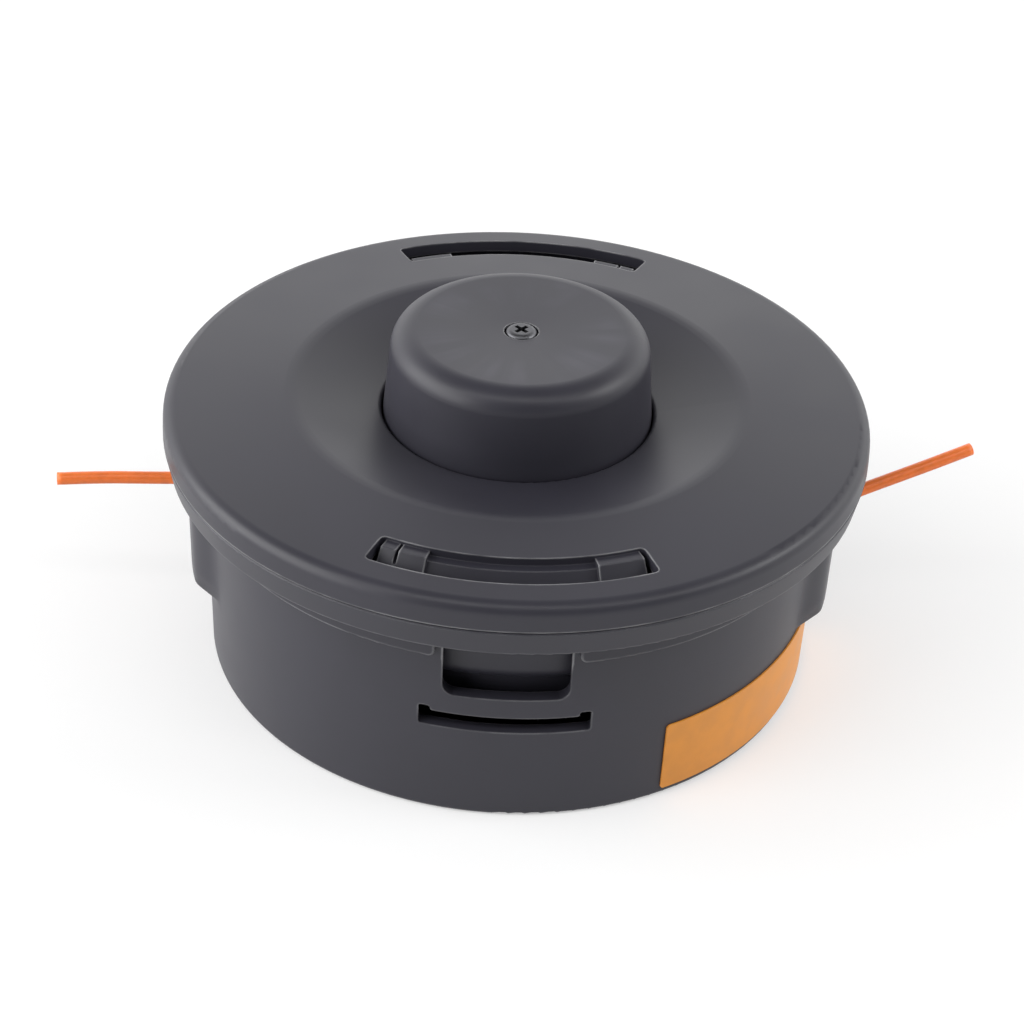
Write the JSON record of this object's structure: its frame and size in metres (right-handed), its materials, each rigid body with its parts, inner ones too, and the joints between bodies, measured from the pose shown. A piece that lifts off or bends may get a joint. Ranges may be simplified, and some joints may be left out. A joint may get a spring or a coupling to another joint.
{
  "type": "trimmer head",
  "caption": "Round bump-feed line trimmer head with a latched cover, bump knob, spool inside and two line tails leaving metal eyelets, for fitting to a brushcutter drive shaft.",
  "frame": {"origin": "centre of the flat base ring on the mounting side, on the drive axis", "axes": "+Z along the drive axis towards the bump knob, +X through the right-hand line outlet, -Y towards the front latch"},
  "size_m": [0.1735, 0.1304, 0.0667],
  "materials": {
    "body_plastic": "satin moulded nylon, charcoal",
    "spool_plastic": "moulded nylon, black",
    "line": "extruded nylon line, orange",
    "label": "printed film, plain orange",
    "insert_steel": "turned steel",
    "spring_steel": "spring steel",
    "eyelet_metal": "turned aluminium",
    "screw_steel": "black oxide"
  },
  "bodies": {
    "housing": {"housing": "body_plastic", "hub_insert": "insert_steel", "eyelet_left": "eyelet_metal", "eyelet_right": "eyelet_metal", "cover": "body_plastic", "label": "label", "spring": "spring_steel", "line_tail_left": "line", "line_tail_right": "line"},
    "pusher": {"thrust_washer": "spring_steel"},
    "spool": {"spool": "spool_plastic", "line_winding_lower": "line", "line_winding_upper": "line", "bump_knob": "body_plastic", "knob_screw": "screw_steel"}
  },
  "joints": [
    {"name": "bump_press", "type": "slide", "parent": "housing", "child": "pusher", "axis": [0, 0, -1], "range_m": [0, 0.006], "stiffness_N_per_m": 2000, "springref_m": -0.01, "deforming": ["spring"]},
    {"name": "spool_index", "type": "hinge", "parent": "pusher", "child": "spool", "pos_m": [0, 0, 0], "axis": [0, 0, 1], "continuous": true}
  ]
}
